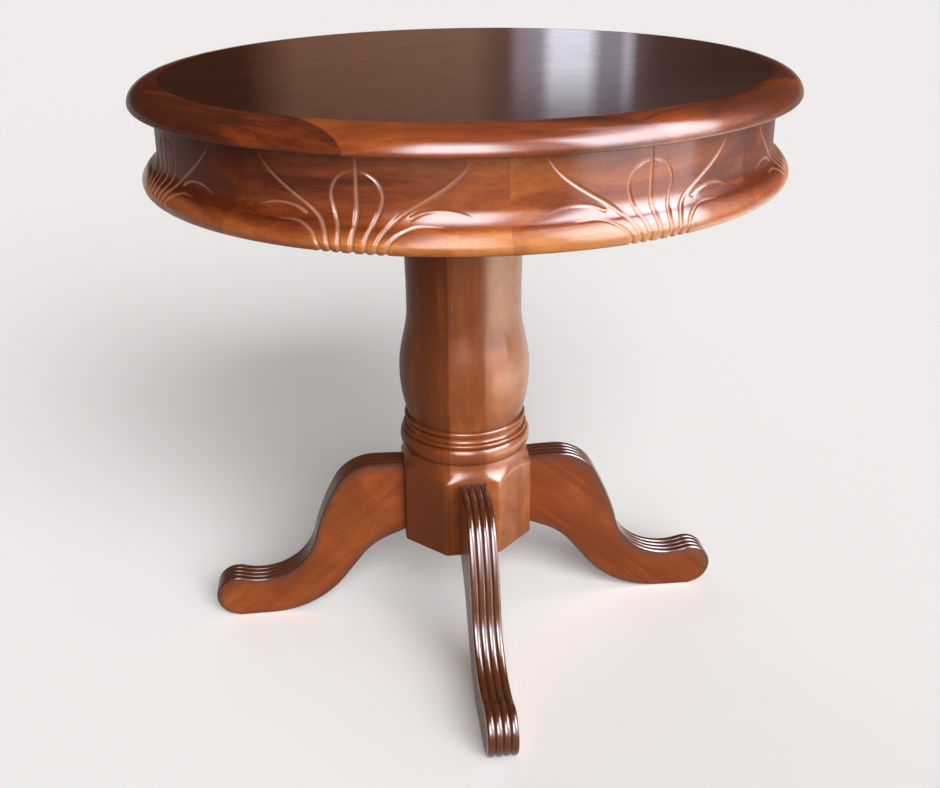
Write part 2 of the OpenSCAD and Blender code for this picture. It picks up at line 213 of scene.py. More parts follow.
woodSet = {
    "top_wood": {"dark": (0.014, 0.0045, 0.0028), "mid": (0.022, 0.0068, 0.0040),
                 "light": (0.034, 0.0105, 0.0060), "pore": 0.60, "blotch": 0.25, "bump": 0.05,
                 "ior": 1.25, "roughness": (0.22, 0.32), "specular": 0.15, "coat": 1.0,
                 "coatIor": 1.43, "coatRoughness": 0.045, "peel": 0.006},
    "rim_wood": {"dark": (0.052, 0.013, 0.006), "mid": (0.185, 0.035, 0.007), "light": (0.290, 0.070, 0.014),
                 "pore": 0.55, "blotch": 0.45, "ior": 1.33, "roughness": (0.34, 0.44), "specular": 0.11,
                 "sheen": ((-1.4, 0.25), (-1.0, 0.30), (-0.2, 1.0)),
                 "coat": 0.50, "coatIor": 1.42, "coatRoughness": 0.06, "peel": 0.06},
    "apron_wood": {"dark": (0.070, 0.012, 0.003), "mid": (0.185, 0.038, 0.008), "light": (0.310, 0.082, 0.018),
                   # the swell's palest wood: worn, and in part painted sheen
                   "wornAndLit": (0.480, 0.180, 0.054),
                   "pore": 0.55, "blotch": 0.45, "ior": 1.33, "roughness": (0.36, 0.46), "specular": 0.11,
                   "sheen": ((-1.4, 0.25), (-1.0, 0.30), (-0.2, 1.0), (0.7, 1.0), (2.3, 0.30)),
                   "coat": 0.50, "coatIor": 1.42, "coatRoughness": 0.07, "peel": 0.07},
    "column_wood": {"dark": (0.130, 0.030, 0.007), "mid": (0.215, 0.055, 0.013), "light": (0.300, 0.088, 0.022),
                    "pore": 0.45, "blotch": 0.75, "ior": 1.33, "roughness": (0.38, 0.48),
                    "specular": 0.12, "sheen": ((-1.4, 0.30), (0.0, 0.80), (0.7, 1.0)),
                    "coat": 0.60, "coatIor": 1.42, "coatRoughness": 0.14, "peel": 0.08},
    "leg_wood": {"dark": (0.150, 0.029, 0.007), "mid": (0.225, 0.052, 0.013), "light": (0.310, 0.082, 0.021),
                 "pore": 0.50, "blotch": 0.65, "ior": 1.33, "roughness": (0.32, 0.42), "specular": 0.15,
                 "coat": 0.85, "satin": 0.10, "coatIor": 1.42, "coatRoughness": 0.11, "peel": 0.09},
}


def woodFinish(name, look, coordinates="board"):
    # a value made of shares of figure, streaks and tone picks the colour from dark, mid, light and worn wood;
    # the tone carries painted shade on the rim, apron and column, and the worn wood of the apron's swell is
    # partly painted sheen;
    # blotches, pores, gouge cuts and stain lie over it in that order
    g = grainSet
    mat = bpy.data.materials.new(name)
    tree = startTree(mat)
    if coordinates == "board":
        place = addNode(tree, "ShaderNodeAttribute", attribute_name="board").outputs["Vector"]
        tone, hollow, glaze = (addNode(tree, "ShaderNodeAttribute", attribute_name=attribute).outputs["Fac"]
                               for attribute in ("tone", "hollow", "glaze"))
    else:
        place = addNode(tree, "ShaderNodeTexCoord").outputs["Object"]
        tone = hollow = glaze = None

    figure, streak, poreNoise, blotch, peel = (noiseNode(tree, place, g[kind])
                                               for kind in ("figure", "streak", "pore", "blotch", "peel"))
    pore = mapRange(tree, poreNoise, *g["poreEdge"], 0.0, 1.0)
    shares = g["shares"]
    grain = total(tree, product(tree, figure, shares["figure"]), product(tree, streak, shares["streak"]))
    if tone is not None:
        grain = total(tree, grain, product(tree, tone, shares["tone"]))
    woods = (look["dark"], look["mid"], look["light"], look.get("wornAndLit", look["light"]))
    colour = rampNode(tree, grain, list(zip(g["stops"], woods)))
    blotchShade = tuple(g["blotchShade"] * v for v in look["mid"]) + (1.0,)
    poreShade = tuple(g["poreShade"] * v for v in look["dark"]) + (1.0,)
    blotched = product(tree, mapRange(tree, blotch, *g["blotchEdge"], 0.0, 1.0), look["blotch"])
    colour = mixColour(tree, blotched, colour, blotchShade)
    colour = mixColour(tree, product(tree, pore, look["pore"]), colour, poreShade)
    if hollow is not None:
        colour = mixColour(tree, product(tree, hollow, g["gougePale"]), colour, gougedWood)
    if glaze is not None:
        colour = mixColour(tree, glaze, colour, darkStain)

    grainHeight = mathNode(tree, "SUBTRACT", streak, product(tree, pore, g["poreSink"]))
    grainBump = addNode(tree, "ShaderNodeBump", {"Strength": look.get("bump", g["bump"]),
                                                 "Distance": g["bumpDepth"], "Height": grainHeight}).outputs[0]
    coatBump = addNode(tree, "ShaderNodeBump", {"Strength": look["peel"], "Distance": g["peelDepth"],
                                                "Height": peel}).outputs[0]
    coat, specular = look["coat"], look["specular"]
    if "satin" in look:
        # glossy where it is stained dark, satin on the flat sides
        coat = mapRange(tree, glaze, 0.0, g["satinEdge"], look["satin"], look["coat"])
    if "sheen" in look:
        # the finish is duller where the tone is lowest, on dark wood and on the painted shade, and on the swell
        # that is painted paler as wear and sheen
        sheen = levelRamp(tree, tone, *g["toneSpan"], look["sheen"])
        coat, specular = (product(tree, sheen, value) for value in (coat, specular))
    endTree(tree, addNode(tree, "ShaderNodeBsdfPrincipled", {
        "Base Color": colour, "Roughness": mapRange(tree, blotch, *noiseSpan, *look["roughness"]),
        "IOR": look["ior"], "Specular IOR Level": specular, "Specular Tint": specularTint, "Normal": grainBump,
        "Coat Weight": coat, "Coat Roughness": look["coatRoughness"], "Coat IOR": look["coatIor"],
        "Coat Normal": coatBump}))
    return mat


finishes = {slot: woodFinish(slot + "_finish", look, "object" if slot == "top_wood" else "board")
            for slot, look in woodSet.items()}
print("finishes made:", len(finishes))


# Surfaces. A grid of points, row by row, becomes one closed mesh; its columns go round a loop.

def gridMesh(name, points, board, tone=0.0, hollow=None, glaze=None, slot="", sharp=34.0, extra=None):
    rows, cols = points.shape[:2]
    i, j = np.meshgrid(np.arange(rows - 1), np.arange(cols), indexing="ij")
    after, across = i + 1, (j + 1) % cols
    quads = np.stack((i * cols + j, i * cols + across, after * cols + across, after * cols + j), -1)
    quads = quads.reshape(-1, 4)
    flat = points.reshape(-1, 3)
    # the sum of the corners' triple products is negative where the faces look inward
    corner = [flat[quads[:, k]] for k in range(4)]
    volume = sum((np.cross(corner[0], corner[k]) * corner[k + 1]).sum() for k in (1, 2))
    faces = quads.tolist() + [list(range(cols))[::-1], list(range((rows - 1) * cols, rows * cols))]
    if volume < 0:
        faces = [f[::-1] for f in faces]
    flat, board = [flat], [board.reshape(-1, 3)]
    if extra is not None:
        faces += [[k + rows * cols for k in f] for f in extra[1]]
        flat.append(extra[0])
        board.append(extra[0])
    flat, board = np.concatenate(flat), np.concatenate(board)
    mesh = bpy.data.meshes.new(name)
    mesh.from_pydata(flat.tolist(), [], faces)
    places = mesh.attributes.new("board", "FLOAT_VECTOR", "POINT")
    places.data.foreach_set("vector", board.ravel().astype(np.float32))
    for attribute, values in (("tone", tone), ("hollow", hollow), ("glaze", glaze)):
        shade = np.zeros(len(flat), np.float32)
        if values is not None:
            shade[:rows * cols] = np.ravel(values + np.zeros((rows, cols)))
        mesh.attributes.new(attribute, "FLOAT", "POINT").data.foreach_set("value", shade)
    mesh.polygons.foreach_set("use_smooth", np.ones(len(faces), bool))
    mesh.set_sharp_from_angle(angle=math.radians(sharp))
    mesh.update()
    mesh.materials.append(finishes[slot])
    return placeObject(name, mesh)


def standFor(piece, node):
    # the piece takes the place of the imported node, on the one body
    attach(piece, "root")
    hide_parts(node)


def arcPoints(centre, radius, start, stop, step):
    # points every step or less along a circular arc, angles in degrees
    count = max(2, int(math.ceil(abs(math.radians(stop - start)) * radius / step)) + 1)
    turn = np.radians(np.linspace(start, stop, count))
    return np.stack((centre[0] + radius * np.cos(turn), centre[1] + radius * np.sin(turn)), -1)


def linePoints(a, b, step):
    # points every step or less along a straight line
    count = max(2, int(math.ceil(math.dist(a, b) / step)) + 1)
    return np.linspace(a, b, count)


def joinPoints(parts):
    # one outline from stretches that start where the one before ends
    return np.concatenate([parts[0]] + [p[1:] for p in parts[1:]])


def swept(outline, angles):
    # outline[j] = (radius, height); each row of angles turns it once, with an angle for each of its points
    return np.stack((outline[:, 0] * np.cos(angles), outline[:, 0] * np.sin(angles),
                     outline[:, 1] + 0 * angles), -1)


def plankStart(seed, reach=4):
    # a place of its own in the grain for each board
    return np.random.default_rng(seed).uniform(-reach, reach, 3)


def boardFrame(points, angle, seed):
    # along the chord, through the thickness and up, with a start of its own in the plank
    radial = points[..., 0] * math.cos(angle) + points[..., 1] * math.sin(angle)
    along = -points[..., 0] * math.sin(angle) + points[..., 1] * math.cos(angle)
    start = plankStart(seed)
    return np.stack((along + start[0], radial + start[1], points[..., 2] + start[2]), -1)


# Rim: eight segments, a quarter oval over a small under radius, with scarf joints at a slant

rimSet = {
    "outer": 0.400, "inner": 0.363, "top": 0.762, "under": 0.735, "underRadius": 0.0035,
    "easing": 0.0005, "easingIn": 0.0001,     # along the line where the rim meets the panel
    "scarfAngle": 62.0, "turn": 5.0,          # degrees
    "rows": 110, "ovalEnd": 89.0, "ovalSteps": 40, "roundStep": 0.0008, "flatStep": 0.006, "flatStart": 0.004,
    "seed": 20,
    # paler or darker from one end of each segment to the other: the tone of each board, and on the fifth to
    # eighth segments also painted shade, darker towards the left and the right of the front where less light
    # falls
    "tones": ((-1.2, -0.6), (-0.2, -0.2), (0.3, 0.3), (-0.4, -1.2), (-1.4, -0.7), (0.6, -0.5), (-0.4, -1.4),
              (-1.4, -1.5)),
}


def rimOutline(r):
    # inner side, flat underside, a small round, then a quarter oval: its radius is the inner one plus the
    # width times cos of the turn, its height is the round's plus the rest of the thickness times sin
    wide, high = r["outer"] - r["inner"], r["top"] - r["under"] - r["underRadius"]
    turn = np.radians(np.linspace(0.0, r["ovalEnd"], r["ovalSteps"]))
    oval = np.stack((r["inner"] + wide * np.cos(turn), r["under"] + r["underRadius"] + high * np.sin(turn)), -1)
    centre = (r["outer"] - r["underRadius"], r["under"] + r["underRadius"])
    under = arcPoints(centre, r["underRadius"], -90, 0, r["roundStep"])
    e, i = r["easing"], r["easingIn"]
    inside = np.array([(r["inner"] + i, r["top"] - i), (r["inner"], r["top"] - e),
                       (r["inner"], (r["top"] + r["under"]) / 2), (r["inner"], r["under"])])
    flat = linePoints((r["inner"] + r["flatStart"], r["under"]), under[0], r["flatStep"])
    return np.concatenate((inside, flat[:-1], joinPoints((under, oval))))


def scarfOffset(radius, r):
    # how far round a slanted line has come at a radius, from where it crosses the middle of the rim
    middle = (r["outer"] + r["inner"]) / 2
    cos, sin = math.cos(math.radians(r["scarfAngle"])), math.sin(math.radians(r["scarfAngle"]))
    along = -middle * cos + np.sqrt((middle * cos) ** 2 + radius ** 2 - middle ** 2)
    return np.arctan2(along * sin, middle + along * cos)


def makeRim(r):
    # each row of a segment is the outline at one angle, shifted at each radius by the scarf's offset
    outline = rimOutline(r)
    offset = scarfOffset(outline[:, 0], r)
    for k in range(segments):
        start = math.radians((k + 0.5) * segmentTurn - r["turn"])
        angles = start + np.linspace(0.0, math.radians(segmentTurn), r["rows"])[:, None] + offset
        points = swept(outline, angles)
        board = boardFrame(points, start + math.radians(segmentTurn / 2), r["seed"] + k)
        tone = np.linspace(*r["tones"][k], r["rows"])[:, None]
        piece = gridMesh(f"rimSegment_{k + 1}", points, board, tone=tone, slot="rim_wood")
        standFor(piece, f"rim_{k + 1}")


makeRim(rimSet)
print("rim made")


# Apron: eight ogee segments, each gouged with one motif of a stem, a loop and curling leaves

apronSet = {
    "wall": 0.372, "inner": 0.346, "top": 0.735, "bottom": 0.640,
    "nose": 0.392, "noseRadius": 0.010, "noseCut": 0.003, "noseJoin": 30.0,
    "swellRadius": 0.046, "coveRadius": 0.023,
    "step": 0.0009, "noseStep": 0.7,    # spacing of the carved surface's points, and the nose's share of it
    "wornAndLit": 1.8,                        # how much paler the swell is: worn wood, and in part painted sheen in place of the lacquer's haze
    "wornAndLitFrom": 0.009, "wornAndLitOver": 0.009,  # metres out from the wall
    "paleDepth": 0.0012,                # gouge depth at which the cut is at its palest
    "backEase": 0.004, "backMiddle": 0.68, "backSpacing": (0.015, 0.013), "sharp": 50, "seed": 40,
    # the tone of each segment from one end to the other: the board's own, and on the fifth to eighth segments
    # also painted shade, darker towards the left and the right of the front
    "tones": ((-0.9, 0.2), (-0.3, -0.3), (0.0, 0.0), (0.25, -0.8), (-1.4, -1.1), (-1.1, 0.6), (0.6, -0.9),
              (-1.0, -1.5)),
}

# How a gouge runs in: points along a stroke, margin searched around it in millimetres, the shares of its
# length over which it widens and deepens, its width at the tip (a share and a rest), and its depth there
gougeSet = {"points": 70, "margin": 6, "widens": 0.25, "tipWidth": (0.35, 0.3), "deepens": 0.2, "tipDepth": 0.2}

# One side of the motif; the other is its mirror. Each stroke's points are (along, height) in millimetres.
strokeSet = {
    "stem": {"points": ((0, 737), (0, 720), (0, 700), (0, 680), (0, 664), (0, 650), (0, 638)),
             "width": (2.3, 3.2), "depth": (1.2, 1.9)},
    "loop": {"points": ((0, 717), (12.5, 713), (22, 705), (26, 693), (24, 682), (19, 669), (14.5, 659),
                        (12.5, 648), (12, 637)),
             "width": (2.0, 2.6), "depth": (1.1, 1.7)},
    "longLeaf": {"points": ((110, 727), (100, 714), (86, 702), (68, 690), (50, 679), (37, 669), (28, 659),
                            (23, 648), (21.5, 637)),
                 "width": (1.9, 2.6), "depth": (1.0, 1.7)},
    "upperLeaf": {"points": ((112, 673), (96, 678), (80, 679.5), (65, 677.5), (53, 672.5)),
                  "width": (1.5, 2.3), "depth": (0.8, 1.2)},
    "lowerLeaf": {"points": ((84, 665), (62, 665.5), (49, 662), (39, 656), (33, 647), (31.5, 637)),
                  "width": (1.4, 2.5), "depth": (0.8, 1.6)},
}


def smoothCurve(points, count):
    # a curve through all the points, each stretch a cubic whose ends follow the neighbours
    p = np.array(points, float)
    p = np.concatenate((2 * p[:1] - p[1:2], p, 2 * p[-1:] - p[-2:-1]))
    t = np.linspace(0, len(p) - 3, count)
    k = np.minimum(t.astype(int), len(p) - 4)
    u = (t - k)[:, None]
    a, b, c, d = p[k], p[k + 1], p[k + 2], p[k + 3]
    return 0.5 * (2 * b + (c - a) * u + (2 * a - 5 * b + 4 * c - d) * u ** 2 + (3 * b - a - 3 * c + d) * u ** 3)


def strokeDepth(along, height, stroke):
    # a round gouge: its depth times one less the square of the distance from the line over its width
    g = gougeSet
    curve = smoothCurve(stroke["points"], g["points"])
    depth = np.zeros_like(along)
    box = (np.abs(along) <= curve[:, 0].max() + g["margin"]) & (height >= curve[:, 1].min() - g["margin"])
    s, z = np.abs(along[box]), height[box]
    a, b = curve[:-1], curve[1:]
    best, where = np.full(len(s), 1e9), np.zeros(len(s))
    for k in range(len(a)):
        d = b[k] - a[k]
        t = np.clip(((s - a[k, 0]) * d[0] + (z - a[k, 1]) * d[1]) / (d @ d), 0, 1)
        away = np.hypot(s - a[k, 0] - t * d[0], z - a[k, 1] - t * d[1])
        nearer = away < best
        best[nearer] = away[nearer]
        where[nearer] = (k + t[nearer]) / len(a)
    (thin, wide), (shallow, deep) = stroke["width"], stroke["depth"]
    tip = g["tipWidth"][0] * thin + g["tipWidth"][1]
    width = np.interp(where, (0, g["widens"], 1), (tip, thin, wide))
    full = np.interp(where, (0, g["deepens"], 1), (g["tipDepth"] * shallow, shallow, deep))
    depth[box] = full * np.clip(1 - (best / width) ** 2, 0, 1)
    return depth


def apronOutline(a):
    # wall, cove, swell and nose on the face, then the flat bottom and the plain back. The swell meets the
    # nose where both lie at the join angle, and the cove where the line between their centres crosses both.
    noseCentre = np.array((a["nose"] - a["noseRadius"], a["bottom"] + a["noseRadius"] - a["noseCut"]))
    join = math.radians(a["noseJoin"])
    swellCentre = noseCentre - (a["swellRadius"] - a["noseRadius"]) * np.array((math.cos(join), math.sin(join)))
    run = a["wall"] + a["coveRadius"] - swellCentre[0]
    rise = math.sqrt((a["coveRadius"] + a["swellRadius"]) ** 2 - run ** 2)
    coveCentre = swellCentre + (run, rise)
    turn = math.degrees(math.atan2(rise, run))
    cut = -math.degrees(math.asin(1 - a["noseCut"] / a["noseRadius"]))
    face = joinPoints((
        linePoints((a["wall"], a["top"]), (a["wall"], coveCentre[1]), a["step"]),
        arcPoints(coveCentre, a["coveRadius"], 180, 180 + turn, a["step"]),
        arcPoints(swellCentre, a["swellRadius"], turn, a["noseJoin"], a["step"]),
        arcPoints(noseCentre, a["noseRadius"], a["noseJoin"], cut, a["noseStep"] * a["step"])))
    inner, bottom, top, ease = (a[k] for k in ("inner", "bottom", "top", "backEase"))
    low, high = a["backSpacing"]
    back = np.array([(inner + low, bottom), (inner + ease, bottom), (inner, bottom + ease),
                     (inner, a["backMiddle"]), (inner, top), (inner + high, top)])
    return face, back


def makeApron(a, strokes):
    # the face goes in along its own normal by the depth of the deepest stroke at each point
    face, back = apronOutline(a)
    slope = np.gradient(face, axis=0)
    normal = np.stack((-slope[:, 1], slope[:, 0]), -1)
    normal /= np.linalg.norm(normal, axis=1)[:, None]
    half = math.radians(segmentTurn / 2)
    rows = int(2 * half * a["wall"] / a["step"])
    turn = np.linspace(-half, half, rows)
    along, height = np.meshgrid(1000 * a["wall"] * turn, 1000 * face[:, 1], indexing="ij")
    depth = 0.001 * np.max([strokeDepth(along, height, s) for s in strokes.values()], axis=0)
    radius = face[:, 0] - depth * normal[:, 0]
    level = np.maximum(face[:, 1] - depth * normal[:, 1], a["bottom"])
    radius = np.concatenate((radius, np.tile(back[:, 0], (rows, 1))), axis=1)
    level = np.concatenate((level, np.tile(back[:, 1], (rows, 1))), axis=1)
    hollow = np.concatenate((np.clip(depth / a["paleDepth"], 0, 1), np.zeros((rows, len(back)))), axis=1)
    # the swell is painted paler out from the wall: partly wear, partly painted sheen
    wornAndLit = np.clip((face[:, 0] - a["wall"] - a["wornAndLitFrom"]) / a["wornAndLitOver"], 0, 1)
    wornAndLit = np.concatenate((a["wornAndLit"] * wornAndLit, np.zeros(len(back))))
    for k in range(segments):
        middle = math.radians(segmentTurn / 2 + segmentTurn * k)
        angle = (middle + turn)[:, None]
        points = np.stack((radius * np.cos(angle), radius * np.sin(angle), level), -1)
        tone = np.linspace(*a["tones"][k], rows)[:, None] + wornAndLit
        piece = gridMesh(f"apronSegment_{k + 1}", points, boardFrame(points, middle, a["seed"] + k), tone=tone,
                         hollow=hollow, slot="apron_wood", sharp=a["sharp"])
        standFor(piece, f"apron_{k + 1}")


makeApron(apronSet, strokeSet)
print("apron carved")


# Legs: a reeded crest of five arcs that meet smoothly, over an underside of its own

legSet = {
    "joint": 0.087, "jointBottom": 0.123, "crest": 0.2285, "thickness": 0.037,
    "browRadius": 0.600, "kneeStart": 0.1275, "kneeRadius": 0.064, "kneeTurn": 60.0,
    "shinRadius": 0.300, "shinTurn": 16.0, "instepHeight": 0.057, "toeRadius": 0.031, "reedEnd": -80.0,
    "hollowStart": 0.110, "slope": 22.0, "shank": 52.0, "hollowRadius": 0.095, "soleRadius": 0.135,
    "reeds": 4, "reedHeight": 0.002, "reedPower": 3.0, "reedSteps": 12, "easing": 0.0015, "step": 0.0022,
    "easedFrom": 0.02,                  # where the flat side is less tall, its easing is smaller too
    # points down each flat side from either end: at these reaches, or at these shares where the leg is thin
    "sideReaches": (0.003, 0.008, 0.016), "sideShares": (0.10, 0.24, 0.40),
    "dovetail": {"depth": 0.018, "neck": 0.016, "wide": 0.023, "low": 0.124, "high": 0.2115, "overlap": 0.001},
    "grainAngle": -41.0, "seed": 60,
    "names": {"leg_front": -90.0, "leg_right": 0.0, "leg_back": 90.0, "leg_left": 180.0},
    "tones": (-0.1, -0.5, 0.0, 0.1),
    "sideGlaze": (0.62, 0.34, 0.10, 0.08, 0.30, 0.55),  # stain down each flat side, darkest at its edges
    "underGlaze": 0.7, "reedGlaze": (0.80, 0.18),       # on a reed's crown, and how much more in a groove
}


def fromCentre(centre, radius, angle):
    # the point at a distance and an angle in degrees from the centre
    turn = math.radians(angle)
    return centre + radius * np.array((math.cos(turn), math.sin(turn)))


def legCrest(g):
    # Points of the crest and the direction into the wood at each. Every arc starts where the one before
    # ends, and its centre lies on the line through that point and the centre before, so they meet smoothly.
    brow = np.array((g["kneeStart"], g["crest"] - g["browRadius"]))
    browTurn = math.degrees(math.asin((g["kneeStart"] - g["joint"]) / g["browRadius"]))
    knee = np.array((g["kneeStart"], g["crest"] - g["kneeRadius"]))
    kneeEnd, fall = 90 - g["kneeTurn"], g["kneeTurn"] + g["shinTurn"]
    shin = fromCentre(knee, g["kneeRadius"] - g["shinRadius"], kneeEnd)
    shinEnd = fromCentre(shin, g["shinRadius"], 90 - fall)
    instepRadius = (shinEnd[1] - g["instepHeight"]) / (1 - math.cos(math.radians(fall)))
    instep = fromCentre(shinEnd, instepRadius, 90 - fall)
    both = instepRadius + g["toeRadius"]
    rise = math.degrees(math.acos((instep[1] - g["toeRadius"]) / both))
    toe = fromCentre(instep, both, rise - 90)
    stretches = ((brow, g["browRadius"], 90 + browTurn, 90, -1), (knee, g["kneeRadius"], 90, kneeEnd, -1),
                 (shin, g["shinRadius"], kneeEnd, 90 - fall, -1),
                 (instep, instepRadius, 270 - fall, 270 + rise, 1),
                 (toe, g["toeRadius"], 90 + rise, g["reedEnd"], -1))
    crest, inward = [], []
    for centre, radius, start, stop, side in stretches:
        arc = arcPoints(centre, radius, start, stop, g["step"])[0 if not crest else 1:]
        crest.append(arc)
        inward.append(side * (arc - centre) / radius)
    inward[0][0] = (0, -1)
    return np.concatenate(crest), np.concatenate(inward), toe


def legUnderside(g, toe, count):
    # a slope from the joint, a hollow, a straight shank and the long round of the sole, which ends level
    slope, shank = math.radians(g["slope"]), math.radians(g["shank"])
    slopeEnd = g["jointBottom"] - (g["hollowStart"] - g["joint"]) * math.tan(slope)
    hollowStart = np.array((g["hollowStart"], slopeEnd))
    hollowCentre = hollowStart - g["hollowRadius"] * np.array((math.sin(slope), math.cos(slope)))
    hollowEnd = hollowCentre + g["hollowRadius"] * np.array((math.sin(shank), math.cos(shank)))
    drop = g["soleRadius"] * (1 - math.cos(shank))
    soleStart = np.array((hollowEnd[0] + (hollowEnd[1] - drop) / math.tan(shank), drop))
    sole = soleStart + g["soleRadius"] * np.array((math.sin(shank), math.cos(shank)))
    line = joinPoints((
        linePoints((g["joint"], g["jointBottom"]), hollowStart, g["step"]),
        arcPoints(hollowCentre, g["hollowRadius"], 90 - g["slope"], 90 - g["shank"], g["step"]),
        linePoints(hollowEnd, soleStart, g["step"]),
        arcPoints(sole, g["soleRadius"], 270 - g["shank"], 270, g["step"]),
        linePoints((sole[0], 0.0), (toe[0], 0.0), g["step"])))
    length = np.concatenate(([0], np.cumsum(np.linalg.norm(np.diff(line, axis=0), axis=1))))
    even = np.linspace(0, length[-1], count)
    return np.stack((np.interp(even, length, line[:, 0]), np.interp(even, length, line[:, 1])), -1)


def dovetailBlock(g):
    # a prism between the low and the high end: narrow at the joint, wide at its depth into the column
    d, w = g["dovetail"], g["joint"]
    plan = [(w + d["overlap"], d["neck"] / 2), (w, d["neck"] / 2), (w - d["depth"], d["wide"] / 2)]
    plan = plan + [(x, -y) for x, y in plan[::-1]]
    points = np.array([(x, y, z) for z in (d["low"], d["high"]) for x, y in plan])
    n = len(plan)
    faces = [list(range(n))[::-1], [n + k for k in range(n)]] + \
        [[k, (k + 1) % n, n + (k + 1) % n, n + k] for k in range(n)]
    return points, [f[::-1] for f in faces]


def turnedAbout(points, angle):
    # turned about the table's upright axis by an angle in degrees
    cos, sin = math.cos(math.radians(angle)), math.sin(math.radians(angle))
    return np.stack((points[..., 0] * cos - points[..., 1] * sin, points[..., 0] * sin + points[..., 1] * cos,
                     points[..., 2]), -1)


def makeLegs(g):
    # every row is a section of the leg, square to the crest along the reeds and then down to the underside
    crest, inward, toe = legCrest(g)
    underside = legUnderside(g, toe, len(crest))
    pitch = g["thickness"] / g["reeds"]
    step = np.arange(g["reeds"] * g["reedSteps"] + 1)
    u = pitch * ((step % g["reedSteps"]) / g["reedSteps"] - 0.5)
    across = pitch * step / g["reedSteps"] - g["thickness"] / 2
    # each reed falls by its height times a power of the share of the way from its middle to the groove
    depth = g["reedHeight"] * np.abs(2 * u / pitch) ** g["reedPower"]
    top = crest[:, None] + depth[None, :, None] * inward[:, None]
    edge = crest + g["reedHeight"] * inward
    drop = underside - edge
    tall = np.linalg.norm(drop, axis=1)
    drop /= np.maximum(tall, 1e-6)[:, None]
    shares, reaches = np.array(g["sideShares"]), np.array(g["sideReaches"])
    reach = np.minimum(reaches[None, :], shares[None, :] * tall[:, None])
    down = np.concatenate((reach, tall[:, None] - reach[:, ::-1]), axis=1)
    side = edge[:, None] + down[..., None] * drop[:, None]
    e, half = g["easing"], g["thickness"] / 2
    raised = underside - drop * np.clip(tall / g["easedFrom"], 0, 1)[:, None] * e
    plane = np.concatenate((top, side, raised[:, None], underside[:, None], underside[:, None],
                            raised[:, None], side[:, ::-1]), axis=1)
    flat = down.shape[1] + 1
    sideways = np.concatenate((across, [half] * flat, [half - e, e - half], [-half] * flat))
    points = np.stack((plane[..., 0], np.tile(sideways, (len(crest), 1)), plane[..., 1]), -1)
    crown, more = g["reedGlaze"]
    glaze = np.concatenate((crown + more * (depth / g["reedHeight"]) ** 2, g["sideGlaze"],
                            [g["underGlaze"]] * 4, g["sideGlaze"][::-1]))
    blockPoints, blockFaces = dovetailBlock(g)
    cos, sin = math.cos(math.radians(g["grainAngle"])), math.sin(math.radians(g["grainAngle"]))
    for k, (name, angle) in enumerate(g["names"].items()):
        start = plankStart(g["seed"] + k)
        board = np.stack((points[..., 0] * cos + points[..., 2] * sin + start[0], points[..., 1] + start[1],
                          points[..., 2] * cos - points[..., 0] * sin + start[2]), -1)
        piece = gridMesh("reededLeg_" + name[4:], turnedAbout(points, angle), board, tone=g["tones"][k],
                         glaze=glaze, slot="leg_wood", extra=(turnedAbout(blockPoints, angle), blockFaces))
        standFor(piece, name)


makeLegs(legSet)
print("legs made")


# Column: a turned profile whose foot is cut to eight flats, the two meeting in a small round

columnSet = {
    "bottom": 0.119, "flats": 0.174, "octagonTop": 0.228, "neck": 0.0785, "neckHeight": 0.299,
    "belly": 0.0875, "bellyHeight": 0.359, "bellyFlat": 0.006, "taper": 0.090,
    "shaft": 0.076, "shaftTop": 0.079, "shaftEnd": 0.671,
    "widens": ((0.480, 0.0), (0.520, 0.001)), "widest": 0.651,   # heights, and how far out the shaft has come
    "tenon": 0.028, "tenonTop": 0.715, "tenonShoulder": 0.020,
    # the cove over the flats: its slope at the lower end, and the angles that it runs between
    "shoulderRadius": 0.033, "shoulderSlope": 38.0, "shoulderFrom": 274, "shoulderTo": 185,
    "torus": 0.0885, "torusHalf": 0.0115, "torusDrop": 0.023, "torusRound": 0.006,
    # small rings from the torus up: where the centre is from the torus or from the bead, its drop below the
    # neck, the radius, the angles from and to, and the points' spacing
    "fillet": (-0.007, 0.020, 0.003, -60, 60, 0.0004),
    "cove": (0.003, 0.012, 0.0046, 235, 125, 0.0006),
    "bead": (-0.0025, 0.004, 0.004, -60, 60, 0.0005),
    "beadOut": 0.0024, "grooveDrop": 0.017, "grooveIn": 0.0005,
    "blockIn": 0.01, "blockSteps": 10, "shoulderStep": 0.0006, "torusSteps": 44, "bellySteps": 46,
    "shaftSteps": 40, "flatSteps": 53, "crowding": 0.85, "blockDrop": 0.0461,
    "cornerRound": 0.0007, "edgeRound": 0.0012,   # where the flats meet one another, and the turned cove
    "room": 0.00015, "socketBelow": 0.002, "wedge": (0.006, 0.030), "wedgeTip": 0.001,
    "kerfEnd": 0.002, "kerfOver": 0.001,
    # three planks glued side by side: where the joints cross, and the tone of each, which is painted shade on
    # the left plank and painted light on the right one
    "shadedPlanks": {"direction": -6.8, "joints": (-0.020, 0.028), "tones": (-1.1, 0.0, 0.7), "seam": 0.0006},
    # stain gathers under the neck, in the groove of the torus and below it
    "stain": {"strength": 0.45, "spread": 0.0014, "drops": (0.0, 0.0078, 0.0230, 0.0465)},
    "boardStart": (1.7, 0.6, -2.3),
}


